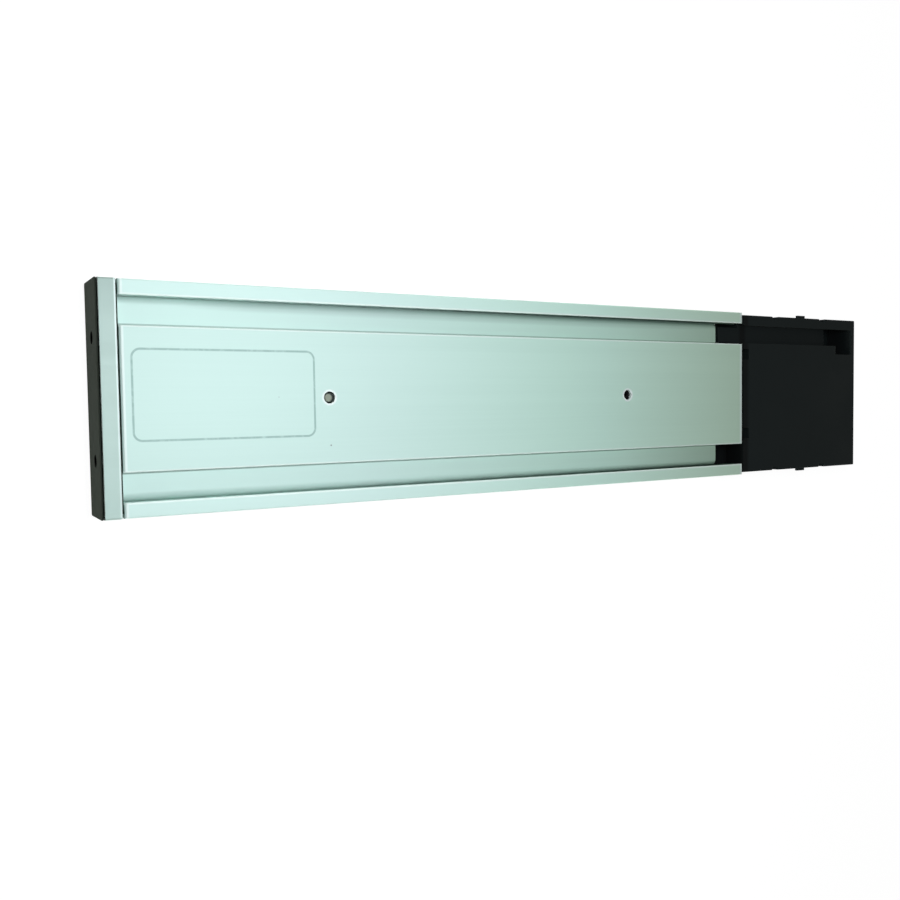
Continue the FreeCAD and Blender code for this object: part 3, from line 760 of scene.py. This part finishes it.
def fit_cap_screws():
    """Threaded screws for the two recesses of the end cap."""
    oxide = metal_finish("black_screw", OXIDE_BLACK, OXIDE_WORN, metallic=1.0, roughness=0.45,
                         lines_per_metre=2000.0)
    for side in ("upper", "lower"):
        node = f"end_cap_screw_{side}"
        low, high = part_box(node)
        seat = (low.x + CAP_SCREW_HEAD_HEIGHT, (low.y + high.y) / 2, (low.z + high.z) / 2)
        screw = make_screw(f"cap_screw_{side}", (high.y - low.y) / 2, CAP_SCREW_HEAD_HEIGHT,
                           CAP_SCREW_SHANK, CAP_SCREW_PITCH, high.x - seat[0], crossed=False)
        seat_screw(screw, seat, (0.0, math.pi / 2, 0.0), node, oxide)


def fit_panel_screw():
    """The threaded screw whose end shows in the panel's left hole."""
    low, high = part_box("panel_screw")
    seat = ((low.x + high.x) / 2, (low.y + high.y) / 2, low.z + PANEL_SCREW_HEAD_HEIGHT)
    screw = make_screw("panel_screw_threaded", (high.x - low.x) / 2, PANEL_SCREW_HEAD_HEIGHT,
                       PANEL_SCREW_SHANK, PANEL_SCREW_PITCH, high.z - seat[2], crossed=True)
    unshaded_middle = (seat[0] + ZINC_UNSHADED_SHIFT[0], seat[1] + ZINC_UNSHADED_SHIFT[1], seat[2])
    zinc = metal_finish("zinc_screw", ZINC_BRIGHT, ZINC_DULL, metallic=0.35, roughness=0.6,
                        lines_per_metre=2000.0, unshaded_middle=unshaded_middle)
    seat_screw(screw, seat, (0.0, 0.0, PANEL_SCREW_TURN), "panel_screw", zinc)


def dress(node_names, material):
    """Gives CAD pieces their finish."""
    for name in node_names:
        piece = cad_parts[name]
        piece.data.materials.clear()
        piece.data.materials.append(material)


def dress_all():
    """Finishes for all the CAD pieces that stay in view."""
    dress(["track_extrusion"], aluminium_finish())
    dress(["end_cap_frame"], trim_finish())
    # The housing and the cap get painted shade on their sunk faces and along their seams
    housing = plastic_finish("black_plastic", HOUSING_BLACK, HOUSING_BLACK_WORN, roughness=0.7, gloss=0.12,
                             grain=1900.0, grain_depth=0.02 * MM, box=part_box("feed_housing"),
                             seam=(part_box("track_extrusion")[1].x + HOUSING_SEAM_INSET, HOUSING_SEAM_REACH))
    dress(["feed_housing"], housing)
    cover = plastic_finish("cover_plastic", HOUSING_BLACK, HOUSING_BLACK_WORN, roughness=0.6, gloss=0.2,
                           grain=1700.0, grain_depth=0.02 * MM)
    dress(["feed_cover"], cover)
    cap = plastic_finish("cap_plastic", CAP_BLACK, CAP_BLACK_WORN, roughness=0.9, gloss=0.1,
                         grain=1700.0, grain_depth=0.02 * MM, box=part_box("end_cap"),
                         seam=(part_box("end_cap_frame")[0].x, CAP_SEAM_REACH))
    dress(["end_cap"], cap)
    carrier = plastic_finish("carrier_plastic", CARRIER_BLACK, CARRIER_BLACK_WORN, roughness=0.5, gloss=0.4,
                             grain=2200.0, grain_depth=0.01 * MM)
    dress(["conductor_carrier"], carrier)
    terminal = plastic_finish("terminal_plastic", TERMINAL_CREAM, TERMINAL_CREAM_WORN, roughness=0.5,
                              gloss=0.4, grain=1700.0, grain_depth=0.015 * MM)
    dress(["terminal_block"], terminal)
    copper = metal_finish("copper", COPPER_BRIGHT, COPPER_DULL, metallic=1.0, roughness=0.3,
                          lines_per_metre=2600.0)
    dress(["conductor_live", "conductor_neutral", "conductor_earth"], copper)


def floor_finish():
    """Pale floor that shows white, darker only under the track, and keeps the shadow."""
    material, tree, shader = new_material("floor", 0.0)
    shader.inputs["Base Color"].default_value = FLOOR_PALE
    shader.inputs["Roughness"].default_value = FLOOR_ROUGHNESS
    glow = add_node(tree, "ShaderNodeEmission")
    glow.inputs["Color"].default_value = WHITE
    glow.inputs["Strength"].default_value = FLOOR_GLOW
    away = vector_maths(tree, "ABSOLUTE", object_place(tree))
    past_x, past_y, _ = split(tree, vector_maths(tree, "SUBTRACT", away, cad_high))
    open_floor = spread(tree, largest(tree, past_x, past_y), *FLOOR_UNDER_TRACK)
    path = add_node(tree, "ShaderNodeLightPath")
    seen = maths(tree, "ADD", path.outputs["Is Camera Ray"], path.outputs["Is Glossy Ray"])
    seen = maths(tree, "ADD", seen, path.outputs["Is Transmission Ray"], clamp=True)
    mixer = add_node(tree, "ShaderNodeMixShader")
    feed(tree, mixer.inputs["Fac"], times(tree, seen, open_floor, FLOOR_GLOW_SHARE))
    tree.links.new(shader.outputs["BSDF"], mixer.inputs[1])
    tree.links.new(glow.outputs["Emission"], mixer.inputs[2])
    tree.links.new(mixer.outputs["Shader"], tree.nodes["Material Output"].inputs["Surface"])
    return material


def lay_floor():
    deselect_all()
    bpy.ops.mesh.primitive_plane_add(size=FLOOR_SIZE, location=(0.0, 0.0, 0.0))
    floor = bpy.context.object
    floor.name = "floor"
    bpy.ops.object.mode_set(mode="EDIT")
    bpy.ops.mesh.subdivide(number_cuts=FLOOR_CUTS)
    bpy.ops.transform.translate(value=(0.0, 0.0, -FLOOR_DROP))
    bpy.ops.object.mode_set(mode="OBJECT")
    floor.data.materials.append(floor_finish())


def add_softbox(name, place, aim, size, watts, tint):
    data = bpy.data.lights.new(name, "AREA")
    data.color = tint
    data.shape = "RECTANGLE"
    data.size, data.size_y = size
    data.energy = watts
    lamp = bpy.data.objects.new(name, data)
    bpy.context.scene.collection.objects.link(lamp)
    lamp.location = place
    lamp.rotation_euler = (Vector(aim) - Vector(place)).to_track_quat("-Z", "Y").to_euler()
    lamp.visible_camera = False


def light_scene():
    """A soft key over the capped half, low weak panels on all four sides and a dim even surround."""
    add_softbox("key", KEY_PLACE, KEY_AIM, KEY_SIZE, KEY_WATTS, KEY_TINT)
    for name, place, watts in SIDE_PANELS:
        add_softbox(name, place, SIDE_AIM, SIDE_SIZE, watts, SIDE_TINT)
    world = bpy.data.worlds.new("surround")
    bpy.context.scene.world = world
    world.use_nodes = True
    tree = world.node_tree
    background = tree.nodes["Background"]
    background.inputs["Color"].default_value = WHITE
    path = add_node(tree, "ShaderNodeLightPath")
    mirrored = largest(tree, path.outputs["Is Glossy Ray"], path.outputs["Is Transmission Ray"])
    unseen = spread(tree, mirrored, 0.0, 1.0, SURROUND_STRENGTH, SURROUND_MIRRORED)
    feed(tree, background.inputs["Strength"], largest(tree, unseen, path.outputs["Is Camera Ray"]))


def place_camera():
    data = bpy.data.cameras.new("camera")
    data.lens = CAMERA_LENS
    data.sensor_width = CAMERA_SENSOR
    data.clip_start = CAMERA_NEAREST
    camera = bpy.data.objects.new("camera", data)
    bpy.context.scene.collection.objects.link(camera)
    camera.location = (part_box("track_extrusion")[0].x + CAMERA_EYE[0], CAMERA_EYE[1], CAMERA_EYE[2])
    camera.rotation_euler = [math.radians(angle) for angle in CAMERA_TURN]
    bpy.context.scene.camera = camera


dress_all()
fit_cap_screws()
fit_panel_screw()
lay_floor()
light_scene()
place_camera()
bpy.context.scene.view_settings.view_transform = "Standard"
